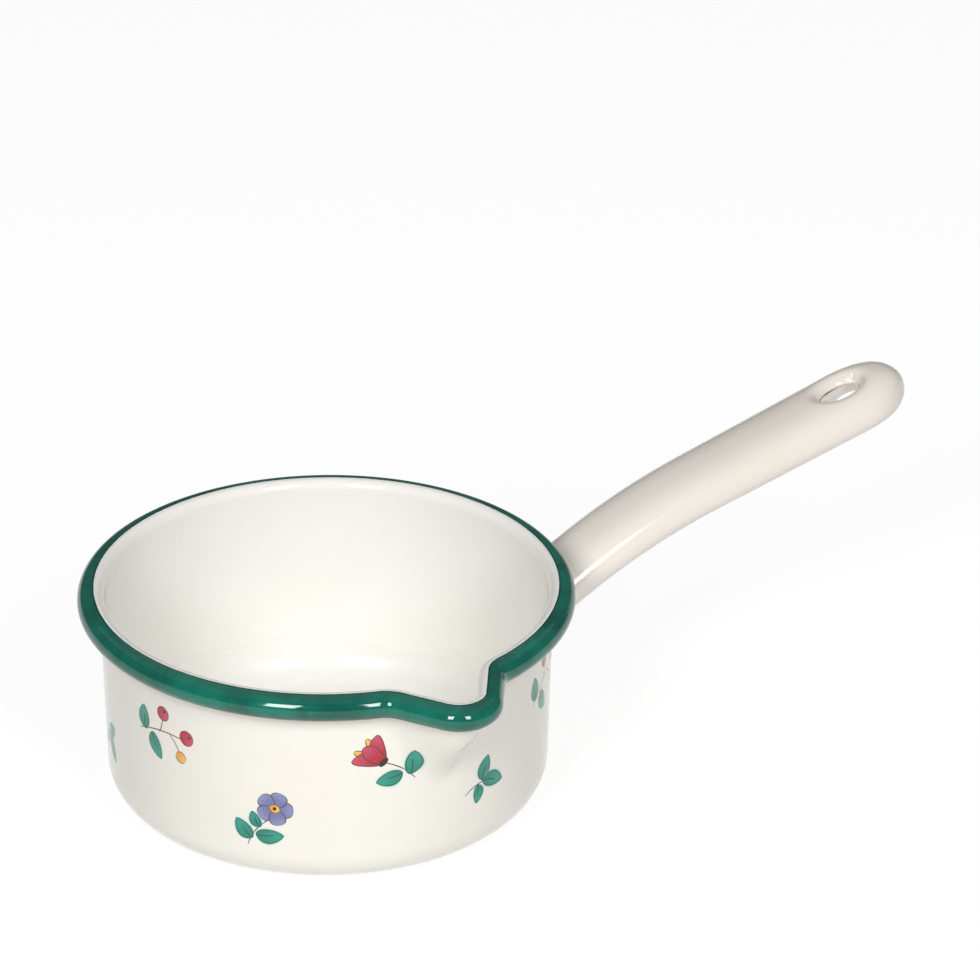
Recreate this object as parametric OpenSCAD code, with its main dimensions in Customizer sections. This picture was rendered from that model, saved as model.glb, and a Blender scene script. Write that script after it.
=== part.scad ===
// Enamelled steel saucepan: a drawn pan with a rolled green rim and a pouring spout, and a
// hollow handle that is pressed from two sheets and welded to the wall.
// The origin is the middle of the base, on the stove, with Z up. The handle points along +X
// and the spout along -Y.

/* [Pan] */
// Outer diameter of the wall under the rim, over the enamel
pan_d = 120; // [100:1:160]
// Height of the pan, from the stove to the top of the lip
pan_h = 59.3; // [52:0.1:90]
// Angle by which the wall leans outwards on its way up
wall_lean = 1.7; // [0:0.1:4]
// Outer radius of the rounded corner between the base and the wall
corner_r = 9.8; // [6:0.1:14]
// Thickness of the pan's steel sheet
sheet_t = 0.8; // [0.6:0.05:1.2]
// Thickness of one fired coat of enamel
coat_t = 0.2; // [0.1:0.05:0.3]

/* [Rim] */
// Radius of the round part of the rolled rim, over the enamel
bead_r = 3.4; // [2.8:0.01:4]
// Angle by which the roll goes on past its lowest point, back towards the wall
curl_past = 42; // [20:1:60]
// Gap between the end of the rolled sheet and the wall
curl_gap = 0.3; // [0.2:0.05:0.8]
// Inner radius to which the sheet is bent where the wall turns into the lip
lip_bend_r = 1.5; // [0.8:0.05:1.9]
// Height of the lip's top above the rolled rim
lip_rise = 0.2; // [0:0.05:0.8]
// Share of the lip's flat top that stays cream, inside the green edge
lip_cream_share = 0.15; // [0.05:0.01:0.9]

/* [Spout] */
// How far the spout stands out from the round of the rim
spout_reach = 15.1; // [11:0.1:19]
// Radius of the spout's nose, on the inner face of the steel
spout_nose_r = 4.5; // [3:0.1:6]
// Angle between the spout's flanks and its middle line
spout_flank = 33; // [28:1:38]
// Radius of the bend where a flank runs into the round of the rim
spout_flare_r = 12; // [9:0.1:15]
// Depth below the rolled rim at which the spout has faded into the wall
spout_drop = 26; // [18:0.5:29]
// How much sooner the spout's flanks fade on the way down than its nose; 0 is not at all
spout_narrowing = 1; // [0:0.1:1.5]

/* [Handle] */
// Horizontal distance from the wall to the handle's tip
handle_reach = 120.4; // [100:0.1:160]
// Height at which the handle's middle line meets the wall
handle_root_z = 34.4; // [30:0.1:38]
// Slope of the handle's straight outer part
handle_slope = 14.2; // [8:0.1:20]
// Radius of the bend between the wall and the straight part
handle_bend_r = 174; // [140:1:260]
// Horizontal run of that bend
handle_bend_run = 55.3; // [40:0.1:65]
// Width of the handle at the wall
handle_root_w = 20.4; // [18:0.1:26]
// Width of the handle at its far end
handle_end_w = 23.2; // [22.8:0.1:28]
// Thickness of the handle at the wall
handle_root_t = 12.3; // [10:0.1:16]
// Thickness of the handle at its far end
handle_end_t = 14; // [12:0.1:16]
// Length of the handle's rounded end
handle_round = 17; // [12:0.1:17.6]
// Thickness of the handle's sheets, with their enamel
handle_sheet_t = 1; // [0.8:0.05:1.4]
// How square the handle's section is, from 2 for an ellipse up
handle_squareness = 2.4; // [2:0.1:3]
// Angle below the widest line at which the two sheets meet
seam_angle = 15; // [10:1:17]
// Leg of the weld fillet around the handle's root
weld_leg = 3; // [1.5:0.1:4.5]
// Gap left where a welded or fused piece meets a curved face
joint_gap = 0.05; // [0.02:0.01:0.1]

/* [Hanging hole] */
// Distance from the handle's tip back to the middle of the hole in the upper sheet
hole_back = 19.1; // [19:0.1:26]
// Length of that oval hole, along the handle
hole_length = 12.7; // [11:0.1:14]
// Width of that hole
hole_width = 7.5; // [7:0.1:8.5]
// Width over which the upper sheet dips into the hole
dip_w = 5; // [3:0.1:5.4]
// Depth of that dip
dip_d = 2.2; // [1.5:0.1:2.6]
// Depth of the hole's edge below the handle's top
hole_edge_drop = 2.9; // [2.7:0.1:3.6]
// Gap between the upper sheet's edge and the lower sheet's land
hole_gap = 0.7; // [0.2:0.05:1]
// Radius of the round end of the drop-shaped hole in the lower sheet
drop_r = 4.5; // [4.2:0.1:4.6]
// Radius of its narrow end, on the side of the pan
drop_tip_r = 0.9; // [0.6:0.1:1.5]
// Length of the drop-shaped hole
drop_length = 14.6; // [13.6:0.1:15]
// Distance by which its round end's middle lies nearer the tip than the oval's middle
drop_shift = 5.6; // [5:0.1:5.8]
// Width of the flat land around the hole's narrow end, which the upper edge stands over
land_w = 2.9; // [2.6:0.1:3.1]
// Width of that land around the round end
land_end_w = 1.2; // [1.1:0.1:1.4]
// Width of the slope between the lower sheet and its land
skirt_w = 4.6; // [3:0.1:4.7]
// Share of a sheet's thickness by which a pressed edge is sunk into the sheet it belongs to
bury_share = 0.15; // [0.1:0.01:0.3]

/* [Hidden] */

$fn = 96;
cream = [0.95, 0.93, 0.88];
lining_cream = [0.96, 0.94, 0.9];
green = [0.02, 0.36, 0.27];
steel = [0.55, 0.56, 0.58];
ground = [0.9, 0.89, 0.85];

// The pan's section, in radius and height. A depth is measured from the enamel's surface.
wall_r = pan_d / 2;
wall_t = sheet_t + 2 * coat_t;
wall_side_t = wall_t / cos(wall_lean);
inner_r = wall_r - wall_side_t;
lip_r = lip_bend_r + sheet_t + coat_t;
lip_x = inner_r + lip_r;
bead_x = wall_r + curl_gap + bead_r * sin(curl_past);
bead_z = pan_h - lip_rise - bead_r;
neck_z = bead_z - bead_r;
curl_end_z = bead_z - bead_r * cos(curl_past);
spout_foot_z = neck_z - spout_drop;
corner_x = wall_r - corner_r * cos(wall_lean)
    - (neck_z - corner_r + corner_r * sin(wall_lean)) * tan(wall_lean);

corner_steps = 6;
spout_steps = 10;
lip_steps = 6;
bead_steps = 16;

// Radius of the wall's outer surface at a height
function wall_x(z) = wall_r - (neck_z - min(z, neck_z)) * tan(wall_lean);

// Heights of the wall's points, close together where the spout swells out of it
wall_levels = concat(
    [for (k = [0:spout_steps]) spout_foot_z + spout_drop * k / spout_steps],
    [curl_end_z]
);

// Base, corner and wall at a depth below the outer surface, from the middle outwards
function wall_line(depth) = concat(
    [[0, depth]],
    [for (k = [0:corner_steps])
        let (a = -90 + (90 - wall_lean) * k / corner_steps)
        [corner_x + (corner_r - depth) * cos(a), corner_r + (corner_r - depth) * sin(a)]],
    [for (z = wall_levels) [wall_x(z) - depth / cos(wall_lean), z]]
);

// The cream part of the lip at a depth below its surface, from the inside of the wall
function lip_line(depth) = concat(
    [for (k = [0:lip_steps])
        let (a = 180 - 90 * k / lip_steps)
        [lip_x + (lip_r - depth) * cos(a), pan_h - lip_r + (lip_r - depth) * sin(a)]],
    [green_edge(depth)]
);

function green_edge(depth) = [
    lip_x + (bead_x - lip_x) * lip_cream_share,
    pan_h - depth - lip_rise * lip_cream_share
];

// The rolled rim at a depth below its surface, from its top over the outside to its end
function bead_line(depth) = [
    for (k = [0:bead_steps])
        let (a = 90 - (180 + curl_past) * k / bead_steps)
        [bead_x + (bead_r - depth) * cos(a), bead_z + (bead_r - depth) * sin(a)]
];

inner_face = wall_line(wall_t - coat_t);
outer_face = wall_line(coat_t);
rim_face = concat(lip_line(coat_t), bead_line(coat_t));
rim_back = concat(lip_line(coat_t + sheet_t), bead_line(coat_t + sheet_t));

// The spout in plan, on the inner face of the steel. Half of it is a round nose, a straight
// flank and a bend that runs into the round of the pan, all tangent to each other.
face_r = inner_r + coat_t;
nose_x = face_r + spout_reach - spout_nose_r;
flank_turn = 90 - spout_flank;
flare_sum = spout_nose_r + spout_flare_r;
flank_len = nose_x * cos(spout_flank) - sqrt(
    pow(nose_x * cos(spout_flank), 2) + pow(face_r + spout_flare_r, 2)
    - pow(nose_x, 2) - 2 * nose_x * flare_sum * sin(spout_flank) - pow(flare_sum, 2)
);
flare_x = nose_x + flare_sum * sin(spout_flank) - flank_len * cos(spout_flank);
flare_y = flare_sum * cos(spout_flank) + flank_len * sin(spout_flank);
flare_end = atan2(flare_y, flare_x);
nose_steps = 7;
flare_steps = 5;
round_steps = 4;

// The spout's quarter of the pan is drawn between the X and the -Y axis, its middle line on
// the diagonal, and the pan is turned as a whole afterwards
sector_half = 360 / 8;

// Stations across half the spout: angle from its middle line, radius, and how far the outside
// turns away from the radius there
half_spout = concat(
    [for (k = [0:nose_steps])
        let (a = flank_turn * k / nose_steps)
        station([nose_x + spout_nose_r * cos(a), spout_nose_r * sin(a)], a)],
    [for (k = [0:flare_steps])
        let (a = flank_turn + (flare_end - flank_turn) * k / flare_steps)
        station([flare_x - spout_flare_r * cos(a), flare_y - spout_flare_r * sin(a)], a)],
    [for (k = [1:round_steps])
        [flare_end + (sector_half - flare_end) * k / round_steps, face_r, 0]]
);
function station(place, a) =
    let (polar = atan2(place[1], place[0]))
    [polar, norm(place), a - polar];

stations = concat(
    [for (k = [len(half_spout) - 1:-1:1])
        [-half_spout[k][0], half_spout[k][1], -half_spout[k][2]]],
    half_spout
);

// How far the spout has swelled out at a height, from nothing at its foot to all at the rim
function swell(z) =
    z <= spout_foot_z ? 0 : z >= neck_z ? 1 : (1 - cos(180 * (z - spout_foot_z) / spout_drop)) / 2;

// Radius of the steel's inner face at a height, where there is no spout
function face_x(z) = wall_x(z) - (wall_t - coat_t) / cos(wall_lean);

// A point of the section carried to a station of the spout. There, share is how much is left
// of the station's reach at the point's height, and slope how that changes along the spout.
function spout_point(s, p) =
    let (a = s[0] - sector_half, w = swell(p[1]))
    w == 0
    ? [p[0] * cos(a), p[0] * sin(a), p[1]]
    : let (
        x = face_x(p[1]),
        out = s[1] - face_r,
        share = pow(w, 1 + spout_narrowing * (1 - out / spout_reach)),
        slope = share * (1 - spout_narrowing * ln(w) * out / spout_reach),
        r = x + share * out,
        facing = a + atan(slope * s[1] * tan(s[2]) / r)
    ) [
        r * cos(a) + (p[0] - x) * cos(facing),
        r * sin(a) + (p[0] - x) * sin(facing),
        p[1]
    ];

// Walled solid between two matched lines of the section, over the spout's stations. A line's
// point on the middle line of the pan is shared by all stations.
module spout_sector(top, back) {
    n = len(top);
    m = len(stations);
    loop = concat(top, [for (k = [n - 1:-1:0]) back[k]]);
    count = len(loop);
    points = [for (s = stations) for (p = loop) spout_point(s, p)];
    function at(i, j) = let (k = j % count) loop[k][0] == 0 ? k : i * count + k;
    sides = [
        for (i = [0:m - 2]) for (j = [0:count - 1])
            for (t = [
                [at(i, j), at(i + 1, j), at(i + 1, j + 1)],
                [at(i, j), at(i + 1, j + 1), at(i, j + 1)]
            ])
                if (t[0] != t[1] && t[1] != t[2] && t[2] != t[0]) t
    ];
    ends = [
        for (j = [0:n - 2])
            let (a = j, b = j + 1, c = count - 2 - j, d = count - 1 - j)
            for (t = [[a, b, c], [a, c, d]]) t
    ];
    far_ends = [for (t = ends) [for (k = [2:-1:0]) at(m - 1, t[k])]];
    polyhedron(points, concat(sides, ends, far_ends), convexity = 6);
}

// The same walled section over three quarters of the pan, and its quarter at the spout
module pan_layer(top, back) {
    rotate([0, 0, -sector_half]) {
        rotate_extrude(angle = 360 - 2 * sector_half)
            polygon(concat(top, [for (k = [len(back) - 1:-1:0]) back[k]]));
        spout_sector(top, back);
    }
}

// Line without its first points
function after(line, first) = [for (k = [first:len(line) - 1]) line[k]];

module pan_body() {
    color(steel)
        pan_layer(concat(inner_face, rim_face), concat(outer_face, rim_back));
}

module inside_enamel() {
    color(lining_cream)
        pan_layer(concat(wall_line(wall_t), lip_line(0)), concat(inner_face, lip_line(coat_t)));
}

module outside_enamel() {
    color(cream)
        pan_layer(after(outer_face, 1), after(wall_line(0), 1));
}

module base_enamel() {
    color(ground)
        cylinder(r = corner_x - joint_gap, h = coat_t);
}

module rim_enamel() {
    color(green)
        pan_layer(
            concat([green_edge(0)], bead_line(0)),
            concat([green_edge(coat_t)], bead_line(coat_t))
        );
}

// The handle's middle line: a bend that starts at the wall, then a straight run to the tip.
bend_end_x = wall_r + handle_bend_run;
bend_x = bend_end_x + handle_bend_r * sin(handle_slope);
root_slope = asin((bend_x - wall_r) / handle_bend_r);
bend_z = handle_root_z - handle_bend_r * cos(root_slope);
bend_end_z = bend_z + handle_bend_r * cos(handle_slope);
bend_len = handle_bend_r * (root_slope - handle_slope) * PI / 180;
handle_len = bend_len + (handle_reach - handle_bend_run) / cos(handle_slope);
round_start = handle_len - handle_round;
bend_steps = 8;
straight_steps = 4;
tip_steps = 9;

// Place and slope of the middle line at a distance from the wall
function middle(s) =
    s < bend_len
    ? let (a = root_slope - s / handle_bend_r * 180 / PI)
        [bend_x - handle_bend_r * sin(a), bend_z + handle_bend_r * cos(a), a]
    : [
        bend_end_x + (s - bend_len) * cos(handle_slope),
        bend_end_z + (s - bend_len) * sin(handle_slope),
        handle_slope
    ];

// Sections of the handle: distance from the wall, and the shares of its width and thickness
function sections(inset) = concat(
    [for (k = [0:bend_steps]) [bend_len * k / bend_steps, 1, 1]],
    [for (k = [1:straight_steps])
        [bend_len + (round_start - bend_len) * k / straight_steps, 1, 1]],
    [for (k = [1:tip_steps])
        let (a = 90 * k / tip_steps)
        [
            round_start + (handle_round - inset) * sin(a),
            k == tip_steps ? 0 : cos(a),
            k == tip_steps ? 0 : sqrt(1 - pow(sin(a), 4))
        ]]
);

function half_width(s) =
    (handle_root_w + (handle_end_w - handle_root_w) * min(s / round_start, 1)) / 2;
function half_thickness(s) =
    (handle_root_t + (handle_end_t - handle_root_t) * min(s / round_start, 1)) / 2;
function bulge(v) = sign(v) * pow(abs(v), 2 / handle_squareness);

// Point of a section, at an angle from its widest line and inset from the surface
function handle_point(section, angle, inset) =
    let (
        m = middle(section[0]),
        y = (half_width(section[0]) - inset) * section[1] * bulge(cos(angle)),
        h = (half_thickness(section[0]) - inset) * section[2] * bulge(sin(angle))
    ) [m[0] - h * sin(m[2]), y, m[1] + h * cos(m[2])];

// The same point on the wall, found along the handle's direction there
function root_point(angle, inset) =
    let (
        p = handle_point([0, 1, 1], angle, inset),
        dx = cos(root_slope),
        dz = sin(root_slope),
        lean = tan(wall_lean),
        r = wall_x(p[2]) + joint_gap,
        a = dx * dx - lean * lean * dz * dz,
        b = p[0] * dx - r * lean * dz,
        c = p[0] * p[0] + p[1] * p[1] - r * r,
        t = (sqrt(b * b - a * c) - b) / a
    ) [p[0] + t * dx, p[1], p[2] + t * dz];

upper_turns = 20;
lower_turns = 10;
upper_angles = [
    for (k = [0:upper_turns]) -seam_angle + (180 + 2 * seam_angle) * k / upper_turns
];
lower_angles = [
    for (k = [0:lower_turns]) 180 + seam_angle + (180 - 2 * seam_angle) * k / lower_turns
];

// One pressed sheet of the handle: its surface and its inner face, joined along both seams
// and at the wall, each closed in one point at the tip
module handle_sheet(angles) {
    outside = sections(0);
    inside = sections(handle_sheet_t);
    n = len(outside);
    m = len(angles);
    rings = n - 1;
    function ring(list, i, inset) = [
        for (a = angles) i == 0 ? root_point(a, inset) : handle_point(list[i], a, inset)
    ];
    points = concat(
        [for (i = [0:rings - 1]) each ring(outside, i, 0)],
        [for (i = [0:rings - 1]) each ring(inside, i, handle_sheet_t)],
        [handle_point(outside[rings], 0, 0), handle_point(inside[rings], 0, 0)]
    );
    function o(i, j) = i == rings ? 2 * rings * m : i * m + j;
    function q(i, j) = i == rings ? 2 * rings * m + 1 : (rings + i) * m + j;
    skin = [
        for (i = [0:rings - 1]) for (j = [0:m - 2])
            for (t = [
                [o(i, j), o(i + 1, j + 1), o(i, j + 1)],
                [o(i, j), o(i + 1, j), o(i + 1, j + 1)],
                [q(i, j), q(i, j + 1), q(i + 1, j + 1)],
                [q(i, j), q(i + 1, j + 1), q(i + 1, j)]
            ])
                if (t[0] != t[1] && t[1] != t[2] && t[2] != t[0]) t
    ];
    seams = [
        for (i = [0:rings - 1])
            for (t = [
                [o(i, 0), q(i + 1, 0), o(i + 1, 0)],
                [o(i, 0), q(i, 0), q(i + 1, 0)],
                [o(i, m - 1), o(i + 1, m - 1), q(i + 1, m - 1)],
                [o(i, m - 1), q(i + 1, m - 1), q(i, m - 1)]
            ]) t
    ];
    root = [
        for (j = [0:m - 2])
            for (t = [
                [o(0, j), q(0, j + 1), q(0, j)],
                [o(0, j), o(0, j + 1), q(0, j + 1)]
            ]) t
    ];
    polyhedron(points, concat(skin, seams, root), convexity = 8);
}

// Closed ring whose section is given at each step round
module ring_solid(rows) {
    m = len(rows);
    n = len(rows[0]);
    function at(i, j) = (i % m) * n + j % n;
    polyhedron(
        [for (row = rows) each row],
        [
            for (i = [0:m - 1]) for (j = [0:n - 1])
                for (t = [
                    [at(i, j), at(i, j + 1), at(i + 1, j + 1)],
                    [at(i, j), at(i + 1, j + 1), at(i + 1, j)]
                ]) t
        ],
        convexity = 6
    );
}

// The hanging hole, in the frame of the straight part: X along it, Z out of its top. The
// hole in the upper sheet is an oval, and the one in the lower sheet is drop shaped.
hole_s = handle_len - hole_back;
hole_turns = 40;
drop_tip_x = drop_shift + drop_r + drop_tip_r - drop_length;
tip_turn = acos((drop_r - drop_tip_r) / (drop_tip_x - drop_shift));
crown = half_thickness(hole_s);
upper_edge = crown - hole_edge_drop;
land_z = upper_edge - hole_gap;
dip_steps = 5;
bury = bury_share * handle_sheet_t;
cut_overrun = handle_sheet_t;

function oval_place(k, grow) =
    let (a = 360 * (k + 0.5) / hole_turns)
    [(hole_length / 2 + grow) * cos(a), (hole_width / 2 + grow) * sin(a)];

// The drop's outline, grown by one width at its narrow end and by another at its round end
function drop_place(k, grow, end_grow) =
    let (a = 360 * (k + 0.5) / hole_turns)
    abs(a - 180) < 180 - tip_turn
    ? [drop_tip_x + (drop_tip_r + grow) * cos(a), (drop_tip_r + grow) * sin(a)]
    : [drop_shift + (drop_r + end_grow) * cos(a), (drop_r + end_grow) * sin(a)];
function land_place(k, grow) = drop_place(k, land_w + grow, land_end_w + grow);

// Height of the handle's surface above its middle, at a place beside the hole
function surface_z(p) =
    let (
        s = hole_s + p[0],
        share = max(s - round_start, 0) / handle_round,
        w = half_width(s) * sqrt(1 - pow(share, 2)),
        t = half_thickness(s) * sqrt(1 - pow(share, 4))
    ) t * pow(1 - pow(abs(p[1]) / w, handle_squareness), 1 / handle_squareness);

// The upper sheet's dip: distance from the hole's edge and depth, steeper towards the edge
dip_line = [
    for (k = [0:dip_steps])
        let (t = k / dip_steps)
        [dip_w * (1 - t), dip_d * pow(t, 3) + (k == 0 ? bury : 0)]
];
dip_back = [
    for (k = [dip_steps - 1:-1:0])
        let (
            t = k / dip_steps,
            rise = 3 * dip_d * pow(t, 2),
            share = handle_sheet_t / norm([rise, dip_w])
        ) [
            dip_w * (1 - t) + rise * share,
            dip_d * pow(t, 3) + dip_w * share - (k == 0 ? bury : 0)
        ]
];

function upper_row(k) = concat(
    [for (q = dip_line) dip_point(oval_place(k, q[0]), q[1])],
    [
        concat(oval_place(k, 0), upper_edge),
        concat(oval_place(k, handle_sheet_t), upper_edge)
    ],
    [for (q = dip_back) dip_point(oval_place(k, q[0]), q[1])]
);
function dip_point(p, drop) = [p[0], p[1], surface_z(p) - drop];

// The lower sheet rises in a skirt to its land, which ends at the drop-shaped hole
function lower_row(k) =
    let (foot = land_place(k, skirt_w)) [
        concat(drop_place(k, 0, 0), land_z),
        concat(drop_place(k, 0, 0), land_z - handle_sheet_t),
        concat(land_place(k, -handle_sheet_t), land_z - handle_sheet_t),
        concat(land_place(k, skirt_w - handle_sheet_t), -surface_z(foot) + bury),
        concat(foot, -surface_z(foot) + bury),
        concat(foot, -surface_z(foot) + handle_sheet_t - bury),
        concat(land_place(k, 0), land_z)
    ];

module at_hole() {
    place = middle(hole_s);
    translate([place[0], 0, place[1]])
        rotate([0, -place[2], 0])
            children();
}

module handle_upper_shell() {
    color(cream) {
        difference() {
            handle_sheet(upper_angles);
            at_hole()
                linear_extrude(height = crown + cut_overrun)
                    polygon([for (k = [0:hole_turns - 1]) oval_place(k, dip_w - 2 * bury)]);
        }
        at_hole()
            ring_solid([for (k = [0:hole_turns - 1]) upper_row(k)]);
    }
}

module handle_lower_shell() {
    color(cream) {
        difference() {
            handle_sheet(lower_angles);
            at_hole()
                translate([0, 0, -crown - cut_overrun])
                    linear_extrude(height = crown + cut_overrun)
                        polygon([
                            for (k = [0:hole_turns - 1])
                                land_place(k, skirt_w - 2 * bury)
                        ]);
        }
        at_hole()
            ring_solid([for (k = [0:hole_turns - 1]) lower_row(k)]);
    }
}

// Fillet of weld metal around the handle's root, with a hollow face
weld_steps = 3;
weld_angles = concat(
    [for (k = [0:upper_turns - 1]) upper_angles[k]],
    [for (k = [0:lower_turns - 1]) lower_angles[k]]
);
function weld_row(angle) =
    let (
        corner = root_point(angle, -joint_gap),
        on_wall = root_point(angle, -weld_leg),
        next = handle_point(sections(0)[1], angle, -joint_gap),
        on_handle = corner + weld_leg * (next - corner) / norm(next - corner)
    ) concat(
        [corner],
        [for (k = [0:weld_steps])
            let (a = 90 * k / weld_steps)
            corner + (on_wall - corner) * (1 - sin(a)) + (on_handle - corner) * (1 - cos(a))]
    );

module handle_weld() {
    color(cream)
        ring_solid([for (a = weld_angles) weld_row(a)]);
}

pan_body();
inside_enamel();
outside_enamel();
base_enamel();
rim_enamel();
handle_upper_shell();
handle_lower_shell();
handle_weld();
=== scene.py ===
# %% [markdown]
# A small enamelled saucepan: cream inside and out, a dark green rolled rim, a pouring spout at
# its side, a hollow handle with a hanging hole, and flower sprigs fired on to the wall.
#
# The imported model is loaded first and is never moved. The steel pan, each thin coat on it and
# each pressed sheet of the handle then gets a finer piece in its place.

import math

import bmesh
import bpy
from mathutils import Matrix, Vector


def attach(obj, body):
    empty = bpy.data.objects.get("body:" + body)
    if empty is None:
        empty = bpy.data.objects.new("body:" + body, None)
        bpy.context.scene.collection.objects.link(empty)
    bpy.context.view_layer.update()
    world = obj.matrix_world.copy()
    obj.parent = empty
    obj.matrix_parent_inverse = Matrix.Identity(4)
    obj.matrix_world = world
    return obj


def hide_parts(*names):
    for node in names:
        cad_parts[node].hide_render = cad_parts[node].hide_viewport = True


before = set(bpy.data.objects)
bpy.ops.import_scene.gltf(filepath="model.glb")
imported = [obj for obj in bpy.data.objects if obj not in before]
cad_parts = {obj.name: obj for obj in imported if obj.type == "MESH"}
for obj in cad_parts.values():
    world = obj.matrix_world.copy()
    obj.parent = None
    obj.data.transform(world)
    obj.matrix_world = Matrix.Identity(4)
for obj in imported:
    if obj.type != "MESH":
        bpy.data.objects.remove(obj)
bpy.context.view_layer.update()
print("nodes:", sorted(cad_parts))

# %% [markdown]
# The sizes are those of the part, in millimetres, because a maker thinks in them. Only the
# last step of a shape turns them into Blender's metres. The enamel's outer skin is drawn a
# hair inside the real size, so that no finer curve stands out of the part's box.

# %% Sizes of the pan
MM = 0.001
SKIN = 0.05
WALL_R = 60
PAN_H = 59.3
LEAN = math.radians(1.7)
CORNER_R = 9.8
SHEET = 0.8
COAT = 0.2
WALL_T = SHEET + 2 * COAT
ROLL_R = 3.4
BEAD_R = ROLL_R - SKIN
CURL_PAST = 42
CURL_GAP = 0.3
LIP_BEND_R = 1.5
LIP_R = LIP_BEND_R + SHEET + COAT
LIP_RISE = 0.2
CREAM_SHARE = 0.15
INNER_R = WALL_R - WALL_T / math.cos(LEAN)
LIP_X = INNER_R + LIP_R
BEAD_X = WALL_R + CURL_GAP + ROLL_R * math.sin(math.radians(CURL_PAST))
BEAD_Z = PAN_H - LIP_RISE - ROLL_R
NECK_Z = BEAD_Z - ROLL_R
CURL_END_Z = BEAD_Z - ROLL_R * math.cos(math.radians(CURL_PAST))
SPOUT_DROP = 26
SPOUT_FOOT_Z = NECK_Z - SPOUT_DROP
CORNER_X = (
    WALL_R
    - CORNER_R * math.cos(LEAN)
    - (NECK_Z - CORNER_R + CORNER_R * math.sin(LEAN)) * math.tan(LEAN)
)
print(f"rolled rim: middle at {BEAD_X:.2f}, {BEAD_Z:.2f} mm; base {2 * CORNER_X:.1f} mm across")

# %% [markdown]
# A pan is a shape of revolution, so its coats are drawn as sections beside the axis: radius
# and height. A depth of 0 is the enamel's surface on the outside, and the wall's whole
# thickness is the surface on the inside.

# %% Section of the pan
FLOOR_RINGS = (0, 12, 24, 36, 44)
CORNER_STEPS, WALL_STEPS, LIP_STEPS, ROLL_STEPS = 20, 34, 20, 56


def wall_x(z):
    return WALL_R - (NECK_Z - min(z, NECK_Z)) * math.tan(LEAN)


def arc(x, z, r, start, end, steps):
    angles = [math.radians(start + (end - start) * k / steps) for k in range(steps + 1)]
    return [(x + r * math.cos(a), z + r * math.sin(a)) for a in angles]


def wall_line(depth):
    lean = math.degrees(LEAN)
    levels = [SPOUT_FOOT_Z + SPOUT_DROP * k / WALL_STEPS for k in range(WALL_STEPS + 1)]
    floor = [(r, depth) for r in FLOOR_RINGS]
    corner = arc(CORNER_X, CORNER_R, CORNER_R - depth, -90, -lean, CORNER_STEPS)
    wall = [(wall_x(z) - depth / math.cos(LEAN), z) for z in levels + [CURL_END_Z]]
    return floor + corner + wall


def green_edge(depth):
    x = LIP_X + (BEAD_X - LIP_X) * CREAM_SHARE
    return [(x, PAN_H - depth - LIP_RISE * CREAM_SHARE)]


def lip_line(depth):
    lip = arc(LIP_X, PAN_H - LIP_R, LIP_R - depth, 180, 90, LIP_STEPS)
    return lip + green_edge(depth)


def bead_line(depth):
    return arc(BEAD_X, BEAD_Z, BEAD_R - depth, 90, -90 - CURL_PAST, ROLL_STEPS)


print("points on the wall's line:", len(wall_line(0)))

# %% [markdown]
# The spout is pressed out of the round wall: a small round nose, two straight flanks and two
# bends that run into the round. Seen from above, it is a list of stations, each an angle from
# the spout's middle, a radius at the rim, and how far the outside turns away there. It fades
# out downwards like a wave, over its drop below the rim, and its flanks fade sooner than its
# nose, so that it ends as a narrow keel. Where a flank bends into the round, the outside's
# turn is spread over a longer way than the inside's.

# %% The spout's stations
FACE_R = INNER_R + COAT
SPOUT_REACH = 15.1
NOSE_R = 4.5
NOSE_X = FACE_R + SPOUT_REACH - NOSE_R
FLARE_R = 12
FLANK_TILT = 33
FLANK_TURN = 90 - FLANK_TILT
NOSE_STEPS, FLANK_STEPS, FLARE_STEPS = 14, 4, 12
ROUND_STEP = 1.5
EASE, EASE_STEPS = 7, 8
EASED_ROUND, KEPT_ROUND = 12, 5


def spout_stations():
    tilt, both = math.radians(FLANK_TILT), NOSE_R + FLARE_R
    along = NOSE_X * math.cos(tilt)
    length = along - math.sqrt(
        along**2
        + (FACE_R + FLARE_R) ** 2
        - NOSE_X**2
        - 2 * NOSE_X * both * math.sin(tilt)
        - both**2
    )
    flare_x = NOSE_X + both * math.sin(tilt) - length * math.cos(tilt)
    flare_y = both * math.cos(tilt) + length * math.sin(tilt)
    flare_end = math.degrees(math.atan2(flare_y, flare_x))

    def station(x, y, turn):
        polar = math.degrees(math.atan2(y, x))
        return (polar, math.hypot(x, y), turn - polar)

    nose = arc(NOSE_X, 0, NOSE_R, 0, FLANK_TURN, NOSE_STEPS)
    half = [station(*p, FLANK_TURN * k / NOSE_STEPS) for k, p in enumerate(nose)]
    flare = arc(flare_x, flare_y, FLARE_R, FLANK_TURN, flare_end, FLARE_STEPS)
    flare = [(2 * flare_x - x, 2 * flare_y - y) for x, y in flare]
    for k in range(1, FLANK_STEPS):
        x, y = [a + (b - a) * k / FLANK_STEPS for a, b in zip(nose[-1], flare[0])]
        half.append(station(x, y, FLANK_TURN))
    for k, (x, y) in enumerate(flare):
        half.append(station(x, y, FLANK_TURN + (flare_end - FLANK_TURN) * k / FLARE_STEPS))
    rest = 360 - 2 * flare_end
    columns = round(rest / ROUND_STEP)
    plain = [(flare_end + rest * k / columns, FACE_R, 0) for k in range(1, columns)]
    half = soften(half + plain[:EASED_ROUND])
    plain = plain[EASED_ROUND:-EASED_ROUND]
    return half + plain + [(360 - a, r, -turn) for a, r, turn in half[:0:-1]]


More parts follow.
